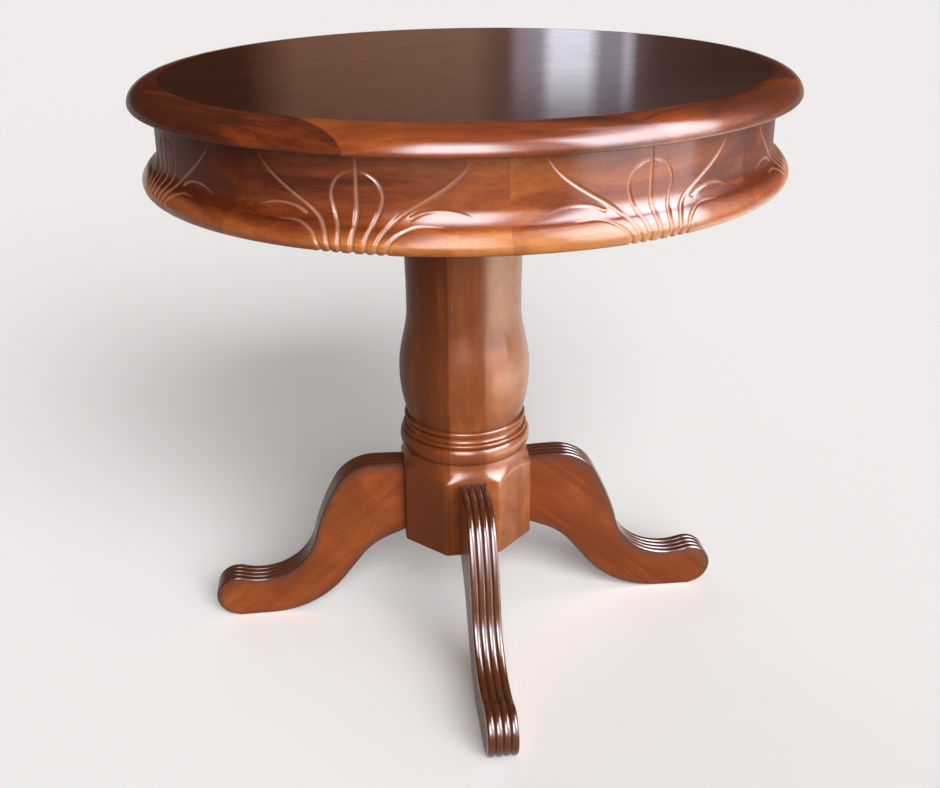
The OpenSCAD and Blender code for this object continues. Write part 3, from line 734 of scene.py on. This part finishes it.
def columnProfile(c):
    # radius and height up the column: the cove's arc, an elliptic torus, small rings, a belly that swells by
    # a quarter sine, a shaft that comes in by half a cosine and widens again, and the tenon
    neck, belly, shaft = c["neck"], c["belly"], c["shaft"]
    corner = c["flats"] / 2 / math.cos(math.radians(segmentTurn / 2))
    slope = math.radians(c["shoulderSlope"])
    centre = np.array((corner, c["octagonTop"])) + c["shoulderRadius"] * np.array((math.sin(slope),
                                                                                  math.cos(slope)))
    shoulder = arcPoints(centre, c["shoulderRadius"], c["shoulderFrom"] - c["shoulderSlope"], c["shoulderTo"],
                         c["shoulderStep"])
    torusMiddle = c["neckHeight"] - c["torusDrop"] - c["torusHalf"]
    turn = np.radians(np.linspace(-90, 90, c["torusSteps"]))
    torus = np.stack((c["torus"] - c["torusRound"] + c["torusRound"] * np.cos(turn),
                      torusMiddle + c["torusHalf"] * np.sin(turn)), -1)
    bead = neck + c["beadOut"]

    def ring(start, values):
        out, drop, radius, low, high, step = values
        return arcPoints((start + out, c["neckHeight"] - drop), radius, low, high, step)

    rise = np.linspace(0, 1, c["bellySteps"])[1:, None]
    bellyLine = np.concatenate((neck + (belly - neck) * np.sin(np.pi / 2 * rise),
                                c["neckHeight"] + (c["bellyHeight"] - c["neckHeight"]) * rise), axis=1)
    fall = np.linspace(0, 1, c["shaftSteps"])[:, None]
    foot = c["bellyHeight"] + c["taper"]
    shaftLine = np.concatenate((belly + (shaft - belly) * (1 - np.cos(np.pi * fall)) / 2,
                                c["bellyHeight"] + c["bellyFlat"]
                                + (foot - c["bellyHeight"] - c["bellyFlat"]) * fall), axis=1)
    low = np.linspace(c["bottom"], shoulder[0, 1], c["blockSteps"])[:-1]
    return np.concatenate((
        np.stack((np.full(len(low), shoulder[0, 0] + c["blockIn"]), low), -1), shoulder, torus,
        ring(c["torus"], c["fillet"]), [(bead - c["grooveIn"], c["neckHeight"] - c["grooveDrop"])],
        ring(bead, c["cove"]), ring(bead, c["bead"]), [(neck, c["neckHeight"])], bellyLine, shaftLine,
        [(shaft + out, height) for height, out in c["widens"]],
        [(c["shaftTop"], c["widest"]), (c["shaftTop"], c["shaftEnd"]),
         (c["tenon"] + c["tenonShoulder"], c["shaftEnd"]), (c["tenon"], c["shaftEnd"]),
         (c["tenon"], c["tenonTop"])]))


def makeCutter(blocks):
    # closed prisms, each given as its points and faces, in one mesh
    points, faces, start = [], [], 0
    for p, f in blocks:
        points += p.tolist()
        faces += [[start + k for k in face] for face in f]
        start += len(p)
    mesh = bpy.data.meshes.new("cutter")
    mesh.from_pydata(points, [], faces)
    return placeObject("cutter", mesh)


def softLess(a, b, size):
    # the smaller of the two, and a little less where they are near each other, which rounds the edge
    return np.minimum(a, b) - size * np.clip(1 - np.abs(a - b) / (4 * size), 0, 1) ** 2


def makeColumn(c, legs):
    # below the torus the radius is the smaller of the turned one and that of the eight flats at each angle;
    # the dovetails' sockets and the wedge's kerf are then cut out
    profile = columnProfile(c)
    half = segmentTurn / 2
    # closer together at the eight corners
    even = np.linspace(-half, half, c["flatSteps"])[:-1]
    one = even + half / np.pi * c["crowding"] * np.sin(np.radians(segments * even))
    angles = np.radians(np.concatenate([one + segmentTurn * k for k in range(segments)]))
    radius = np.tile(profile[:, :1], (1, len(angles)))
    # each flat is at half the width over cos of the angle from its middle
    eighth = math.radians(segmentTurn)
    turn = (angles + math.radians(half)) % eighth - math.radians(half)
    flats = [c["flats"] / 2 / np.cos(turn + shift) for shift in (-eighth, 0.0, eighth)]
    block = softLess(softLess(flats[0], flats[1], c["cornerRound"]), flats[2], c["cornerRound"])
    low = profile[:, 1] < c["neckHeight"] - c["blockDrop"]
    radius = np.where(low[:, None], softLess(radius, block[None, :], c["edgeRound"]), radius)
    points = np.stack((radius * np.cos(angles), radius * np.sin(angles),
                       np.tile(profile[:, 1:], (1, len(angles)))), -1)
    shadedPlanks, stain = c["shadedPlanks"], c["stain"]
    way = math.radians(shadedPlanks["direction"])
    across = points[..., 0] * math.cos(way) + points[..., 1] * math.sin(way)
    seams = [joint + side for joint in shadedPlanks["joints"] for side in (-shadedPlanks["seam"], shadedPlanks["seam"])]
    # painted shade: the left plank darker, the right one paler, as the light falls
    tone = np.interp(across, seams, np.repeat(shadedPlanks["tones"], (1, 2, 1)))
    glaze = sum(stain["strength"] * np.exp(-((profile[:, 1:] - c["neckHeight"] + drop) / stain["spread"]) ** 2)
                for drop in stain["drops"])
    piece = gridMesh("turnedColumn", points, points, tone=tone, glaze=glaze, slot="column_wood")

    d, room = legs["dovetail"], c["room"]
    socket = dict(d, depth=d["depth"] + room, neck=d["neck"] + 2 * room, wide=d["wide"] + 2 * room,
                  low=c["bottom"] - c["socketBelow"], high=d["high"] + room)
    points, faces = dovetailBlock({"dovetail": socket, "joint": c["flats"] / 2})
    blocks = [(turnedAbout(points, angle), faces) for angle in legs["names"].values()]
    wide, deep = c["wedge"]
    tip, over, long = c["wedgeTip"], c["kerfOver"], c["tenon"] - c["kerfEnd"]
    kerf = np.array([(x, y, c["tenonTop"] + z) for y in (-long, long)
                     for x, z in ((-wide / 2, over), (-tip, -deep), (tip, -deep), (wide / 2, over))])
    blocks.append((kerf, [[0, 1, 2, 3], [7, 6, 5, 4], [0, 4, 5, 1], [1, 5, 6, 2], [2, 6, 7, 3], [3, 7, 4, 0]]))
    cutter = makeCutter(blocks)
    cutter.data.materials.append(finishes["column_wood"])
    boolean = piece.modifiers.new("sockets", "BOOLEAN")
    boolean.object, boolean.operation, boolean.solver = cutter, "DIFFERENCE", "EXACT"
    bpy.context.view_layer.update()
    cutMesh = bpy.data.meshes.new_from_object(piece.evaluated_get(bpy.context.evaluated_depsgraph_get()))
    piece.modifiers.clear()
    piece.data = cutMesh
    bpy.data.objects.remove(cutter)
    # the grain runs up the column
    where = np.zeros(len(cutMesh.vertices) * 3, np.float32)
    cutMesh.vertices.foreach_get("co", where)
    board = where.reshape(-1, 3)[:, (2, 0, 1)] + np.array(c["boardStart"], np.float32)
    cutMesh.attributes["board"].data.foreach_set("vector", board.ravel())
    standFor(piece, "column")
    print("column points:", len(board))


makeColumn(columnSet, legSet)
print("column made")


# Plain parts inside: planed but unfinished wood, and zinc-plated screws

plainSet = {
    "figure": {"stretch": (2.0, 40.0, 40.0), "scale": 2.0, "detail": 6.0, "distortion": 0.7},
    "fibre": {"stretch": (18.0, 420.0, 420.0), "scale": 2.0, "detail": 2.0},
    "shares": (0.7, 0.3), "stops": ((0.36, (0.330, 0.190, 0.085)), (0.62, (0.560, 0.365, 0.190))),
    "roughness": (0.55, 0.72), "bump": 0.3, "bumpDepth": 0.0004, "seed": 80,
}
screwSet = {"cloud": {"scale": 900.0, "detail": 3.0}, "roughness": (0.25, 0.45),
            "stops": ((0.35, (0.36, 0.34, 0.28)), (0.65, (0.58, 0.56, 0.50)))}


def plainWood(name, angle, tilt, seed):
    # shares of figure and fibre pick a colour between the two stops
    w = plainSet
    mat = bpy.data.materials.new(name)
    tree = startTree(mat)
    place = addNode(tree, "ShaderNodeTexCoord").outputs["Object"]
    turned = addNode(tree, "ShaderNodeMapping", {"Vector": place, "Location": tuple(plankStart(seed, 3)),
                                                 "Rotation": (0.0, tilt, angle)}).outputs[0]
    figure, fibre = (noiseNode(tree, turned, w[kind]) for kind in ("figure", "fibre"))
    grain = total(tree, *(product(tree, noise, share) for noise, share in zip((figure, fibre), w["shares"])))
    colour = rampNode(tree, grain, w["stops"])
    bump = addNode(tree, "ShaderNodeBump", {"Strength": w["bump"], "Distance": w["bumpDepth"],
                                            "Height": fibre}).outputs[0]
    endTree(tree, addNode(tree, "ShaderNodeBsdfPrincipled", {
        "Base Color": colour, "Roughness": mapRange(tree, fibre, *noiseSpan, *w["roughness"]), "Normal": bump}))
    return mat


def screwSteel():
    # one soft noise picks both the colour and the roughness
    mat = bpy.data.materials.new("screw_steel_finish")
    tree = startTree(mat)
    place = addNode(tree, "ShaderNodeTexCoord").outputs["Object"]
    cloud = noiseNode(tree, place, screwSet["cloud"])
    endTree(tree, addNode(tree, "ShaderNodeBsdfPrincipled", {
        "Base Color": rampNode(tree, cloud, screwSet["stops"]), "Metallic": 1.0,
        "Roughness": mapRange(tree, cloud, *noiseSpan, *screwSet["roughness"])}))
    return mat


def setMaterial(node, mat):
    nodes[node].data.materials.clear()
    nodes[node].data.materials.append(mat)


setMaterial("top_panel", finishes["top_wood"])
plainParts = {"bearer_x": (0.0, 0.0), "bearer_y": (-math.pi / 2, 0.0), "mounting_block": (-0.6, 0.0),
              "apron_splines": (0.0, math.pi / 2), "tenon_wedge": (0.0, math.pi / 2)}
for k in range(segments):
    plainParts[f"glue_block_{k + 1}"] = (-math.radians(90 + segmentTurn * (k + 0.5)), 0.0)
for k, (node, (angle, tilt)) in enumerate(plainParts.items()):
    setMaterial(node, plainWood(node + "_wood", angle, tilt, plainSet["seed"] + k))
steel = screwSteel()
for node in ("block_screws", "bearer_screws", "mount_screws"):
    setMaterial(node, steel)
print("inner parts finished")


# Studio: a wide pale floor, two tall windows and a room of soft bands around the table

studioSet = {
    # brightness where it is seen or mirrored, and for the light that it throws back on the table
    "floor": {"radii": (0.02, 2.0, 200.0), "sides": 96, "level": -0.0002, "seen": 0.82, "bounce": 0.15},
    # two soft suns that light the wood and aren't mirrored in it
    "suns": {"softSun": {"azimuth": -74.0, "height": 28.0, "strength": 4.6, "softness": 50.0},
             "fillSun": {"azimuth": 118.0, "height": 13.0, "strength": 1.1, "softness": 60.0}},
    # What the lacquer mirrors: a curved wall of light with two windows in it, and the lit floor before them.
    # Azimuths in degrees, the others in metres; each edge runs from nothing to full. The glow is the wall
    # around the windows, and the skirt its low part right of them.
    "wall": {"distance": 2.6, "left": -130.0, "right": 60.0, "height": 7.0, "radiance": 40.0,
             "front": ((-120.0, -107.0), (-93.0, -76.0)), "side": (-66.0, -54.0),
             "edge": -19.0, "lean": 10.5, "leanFrom": 1.3, "leanShares": (0.7, 1.4), "soft": 7.0,
             "glow": 5.0, "glowAround": ((-128.0, -114.0), (-14.0, 20.0)), "glowUp": ((0.5, 1.5), (7.0, 5.0)),
             "skirt": 1.5, "skirtAround": ((-30.0, -16.0), (8.0, 28.0)), "skirtUp": (0.9, 0.3),
             "frontLevels": ((0.0, 0.0), (0.45, 0.03), (0.8, 0.25), (1.1, 0.75), (1.4, 1.0), (3.0, 1.0),
                             (3.8, 0.50), (4.7, 0.18), (6.5, 0.06), (7.0, 0.0)),
             "sideLevels": ((0.0, 0.13), (0.33, 0.17), (0.65, 0.26), (0.97, 0.44), (1.3, 0.70), (1.6, 0.92),
                            (2.0, 1.0), (3.2, 1.0), (4.06, 0.60), (4.9, 0.23), (6.5, 0.10), (7.0, 0.0))},
    "litFloor": {"near": 0.25, "far": 2.65, "level": 0.003, "left": -70.0, "right": 64.0, "radiance": 10.5,
                 "outward": ((0.25, 0.0), (0.5, 0.25), (0.7, 0.65), (0.9, 1.0), (1.3, 1.0), (1.8, 0.80),
                             (2.65, 0.70)),
                 "around": ((-66.0, 0.0), (-60.0, 0.30), (-52.0, 0.55), (-45.0, 0.90), (-38.0, 1.0),
                            (-22.0, 0.90), (-7.0, 0.60), (7.0, 0.35), (22.0, 0.18), (37.0, 0.10),
                            (50.0, 0.04), (62.0, 0.0))},
    "windowColour": (0.90, 0.99, 1.12, 1.0), "litFloorColour": (1.10, 0.97, 0.78, 1.0),
}

# The room as the top mirrors it. Azimuths and heights in degrees, colours linear.
roomSet = {
    "behind": ((60.0, (0.045, 0.018, 0.012)), (70.5, (0.06, 0.026, 0.018)), (73.5, (0.09, 0.045, 0.038)),
               (74.4, (0.15, 0.10, 0.10)), (74.9, (0.75, 0.72, 0.86)), (75.3, (0.40, 0.35, 0.44)),
               (76.2, (0.38, 0.33, 0.42)), (76.9, (1.25, 1.25, 1.42)), (78.6, (1.25, 1.25, 1.42)),
               (79.2, (0.44, 0.37, 0.45)), (80.3, (0.40, 0.31, 0.37)), (80.8, (0.17, 0.085, 0.065)),
               (81.5, (0.18, 0.088, 0.062)), (82.6, (0.29, 0.145, 0.10)), (91.5, (0.25, 0.115, 0.075)),
               (94.0, (0.055, 0.018, 0.009))),
    "bandSpan": (60.0, 105.0), "bandAround": ((58.0, 62.0), (106.0, 110.0)), "bandFade": (14.0, 22.0),
    "dimFrom": (8.6, 11.0), "dimShare": 0.8, "dimAround": (81.2, 80.6), "dimColour": (0.15, 0.085, 0.075, 1.0),
    # dark on the left, brighter on the right
    "around": ((-180.0, (0.06, 0.045, 0.04)), (-136.8, (0.10, 0.08, 0.07)), (-122.4, (0.12, 0.09, 0.08)),
               (-104.4, (0.90, 0.80, 0.76)), (-72.0, (1.10, 1.00, 0.96)), (-21.6, (0.40, 0.34, 0.32)),
               (18.0, (0.12, 0.09, 0.08)), (108.0, (0.08, 0.06, 0.05)), (180.0, (0.06, 0.045, 0.04))),
    "lowWall": {"fade": (8.0, 12.0), "colour": (0.80, 0.79, 0.78, 1.0),
                "around": ((-140.0, 1.0), (-128.0, 0.0), (150.0, 0.0), (160.0, 1.0))},
    "ceiling": {"fade": (30.0, 75.0), "colour": (0.22, 0.21, 0.21, 1.0)},
    "ground": {"fade": (0.6, 2.0), "colour": (0.85, 0.84, 0.83, 1.0)},
}


def makeFloor(f):
    # a small disc and two wide rings around it, a hair below the feet
    mesh = bpy.data.meshes.new("floor")
    sides = f["sides"]
    turn = np.linspace(0, 2 * np.pi, sides + 1)[:-1]
    rings = np.concatenate([r * np.stack((np.cos(turn), np.sin(turn)), -1) for r in f["radii"]])
    points = np.concatenate((rings, np.full((len(rings), 1), f["level"])), axis=1)
    faces = [list(range(sides))]
    for start in (0, sides):
        faces += [[start + j, start + (j + 1) % sides, start + sides + (j + 1) % sides, start + sides + j][::-1]
                  for j in range(sides)]
    mesh.from_pydata(points.tolist(), [], faces)
    floor = placeObject("floor", mesh)
    mat = bpy.data.materials.new("floor_finish")
    tree = startTree(mat)
    path = addNode(tree, "ShaderNodeLightPath").outputs
    mirrored = mathNode(tree, "MAXIMUM", path["Is Glossy Ray"], path["Is Transmission Ray"])
    seen = mathNode(tree, "MAXIMUM", path["Is Camera Ray"], mirrored)
    shade = mapRange(tree, seen, 0.0, 1.0, f["bounce"], f["seen"])
    endTree(tree, addNode(tree, "ShaderNodeBsdfDiffuse", {"Color": shade}))
    mesh.materials.append(mat)


def glowingPane(name, columns, colour, strengthOf):
    # columns: the low and the high point at each azimuth; strengthOf makes the strength from the places
    # along and across the pane
    points = [p for pair in columns for p in pair]
    count = len(columns) - 1
    faces = [(2 * k, 2 * k + 2, 2 * k + 3, 2 * k + 1) for k in range(count)]
    mesh = bpy.data.meshes.new(name)
    mesh.from_pydata(points, [], faces)
    places = np.array([(v // 2 / count, v % 2) for f in faces for v in f], np.float32)
    mesh.uv_layers.new(name="pane").data.foreach_set("uv", places.ravel())
    pane = placeObject(name, mesh)
    mat = bpy.data.materials.new(name + "_light")
    tree = startTree(mat)
    place = addNode(tree, "ShaderNodeUVMap", uv_map="pane").outputs[0]
    split = addNode(tree, "ShaderNodeSeparateXYZ", {0: place})
    light = addNode(tree, "ShaderNodeEmission", {"Color": colour, "Strength": strengthOf(
        tree, split.outputs[0], split.outputs[1])})
    clear = addNode(tree, "ShaderNodeBsdfTransparent")
    endTree(tree, addNode(tree, "ShaderNodeAddShader", {0: light.outputs[0], 1: clear.outputs[0]}))
    mesh.materials.append(mat)
    pane.visible_diffuse = pane.visible_camera = pane.visible_shadow = False


def aroundPoints(radius, height, left, right, count=48):
    # evenly spread along a level arc between two azimuths
    turns = np.radians(np.linspace(left, right, count + 1))
    return [(radius * math.cos(t), radius * math.sin(t), height) for t in turns]


def makeWall(w, colour):
    # two windows times their radiance, plus the glow around them, plus the skirt
    def strengthOf(tree, along, up):
        azimuth = mapRange(tree, along, 0.0, 1.0, w["left"], w["right"])
        height = product(tree, up, w["height"])

        def between(rise, fall):
            return product(tree, smoothEdge(tree, azimuth, *rise), smoothEdge(tree, azimuth, fall[1], fall[0]))

        # the right window's far edge leans outward above its start, and softens
        above = mathNode(tree, "MAXIMUM", mathNode(tree, "SUBTRACT", height, w["leanFrom"]), 0.0)
        start, stop = (total(tree, product(tree, above, share * w["lean"]), edge)
                       for share, edge in zip(w["leanShares"], (w["edge"], w["edge"] + w["soft"])))
        beyond = mathNode(tree, "SUBTRACT", 1.0, smoothEdge(tree, azimuth, start, stop))
        side = product(tree, smoothEdge(tree, azimuth, *w["side"]), beyond)
        front = between(*w["front"])
        front = product(tree, front, levelRamp(tree, height, 0.0, w["height"], w["frontLevels"]))
        side = product(tree, side, levelRamp(tree, height, 0.0, w["height"], w["sideLevels"]))
        rise, fall = (smoothEdge(tree, height, *edge) for edge in w["glowUp"])
        glow = product(tree, between(*w["glowAround"]), product(tree, rise, fall))
        skirt = product(tree, between(*w["skirtAround"]), smoothEdge(tree, height, *w["skirtUp"]))
        windows = product(tree, total(tree, front, side), w["radiance"])
        around = total(tree, product(tree, glow, w["glow"]), product(tree, skirt, w["skirt"]))
        return total(tree, windows, around)

    low = aroundPoints(w["distance"], 0.0, w["left"], w["right"])
    high = aroundPoints(w["distance"], w["height"], w["left"], w["right"])
    glowingPane("windowWall", list(zip(low, high)), colour, strengthOf)


def makeLitFloor(f, colour):
    # the radiance times one curve of the azimuth and one of the distance from the table's middle
    def strengthOf(tree, along, out):
        azimuth = mapRange(tree, along, 0.0, 1.0, f["left"], f["right"])
        reach = mapRange(tree, out, 0.0, 1.0, f["near"], f["far"])
        level = product(tree, levelRamp(tree, azimuth, f["left"], f["right"], f["around"]),
                        levelRamp(tree, reach, f["near"], f["far"], f["outward"]))
        return product(tree, level, f["radiance"])

    near, far = (aroundPoints(f[edge], f["level"], f["left"], f["right"]) for edge in ("near", "far"))
    glowingPane("litFloor", list(zip(near, far)), colour, strengthOf)


def makeSun(name, s):
    # it shines at the table from an azimuth and a height above the horizon
    lamp = bpy.data.lights.new(name, "SUN")
    lamp.energy, lamp.angle = s["strength"], math.radians(s["softness"])
    sun = placeObject(name, lamp)
    turn, height = math.radians(s["azimuth"]), math.radians(s["height"])
    toward = Vector((math.cos(turn) * math.cos(height), math.sin(turn) * math.cos(height), math.sin(height)))
    sun.rotation_euler = toward.to_track_quat("Z", "Y").to_euler()
    sun.visible_glossy = False


def makeWorld(r):
    # each layer is mixed over the one before by how far the ray's azimuth and height lie within its edges
    world = bpy.data.worlds.new("room")
    bpy.context.scene.world = world
    tree = startTree(world)
    ray = addNode(tree, "ShaderNodeTexCoord").outputs["Generated"]
    x, y, z = addNode(tree, "ShaderNodeSeparateXYZ", {0: ray}).outputs
    azimuth = product(tree, mathNode(tree, "ARCTAN2", y, x), 180 / math.pi)
    height = product(tree, mathNode(tree, "ARCSINE", z), 180 / math.pi)
    behind = spreadRamp(tree, azimuth, *r["bandSpan"], r["behind"])
    # the bright bands end a little above the horizon, so they fade towards the front of the top
    dim = product(tree, mapRange(tree, height, *r["dimFrom"], 0.0, r["dimShare"]),
                  mapRange(tree, azimuth, *r["dimAround"], 0.0, 1.0))
    behind = mixColour(tree, dim, behind, r["dimColour"])
    around = spreadRamp(tree, azimuth, -180.0, 180.0, r["around"])
    # a low pale wall on the left
    low = product(tree, mapRange(tree, height, *r["lowWall"]["fade"], 1.0, 0.0),
                  levelRamp(tree, azimuth, -180.0, 180.0, r["lowWall"]["around"]))
    around = mixColour(tree, low, around, r["lowWall"]["colour"])
    rise, fall = r["bandAround"]
    inBand = product(tree, mapRange(tree, azimuth, *rise, 0.0, 1.0), mapRange(tree, azimuth, *fall, 1.0, 0.0))
    inBand = product(tree, inBand, mapRange(tree, height, *r["bandFade"], 1.0, 0.0))
    colour = mixColour(tree, inBand, around, behind)
    colour = mixColour(tree, mapRange(tree, height, *r["ceiling"]["fade"], 0.0, 1.0), colour,
                       r["ceiling"]["colour"])
    colour = mixColour(tree, mapRange(tree, height, *r["ground"]["fade"], 1.0, 0.0), colour,
                       r["ground"]["colour"])
    endTree(tree, addNode(tree, "ShaderNodeBackground", {"Color": colour, "Strength": 1.0}),
            "ShaderNodeOutputWorld")


makeFloor(studioSet["floor"])
makeWall(studioSet["wall"], studioSet["windowColour"])
makeLitFloor(studioSet["litFloor"], studioSet["litFloorColour"])
for name, sun in studioSet["suns"].items():
    makeSun(name, sun)
makeWorld(roomSet)
bpy.context.scene.view_settings.view_transform = "Standard"
print("studio set")
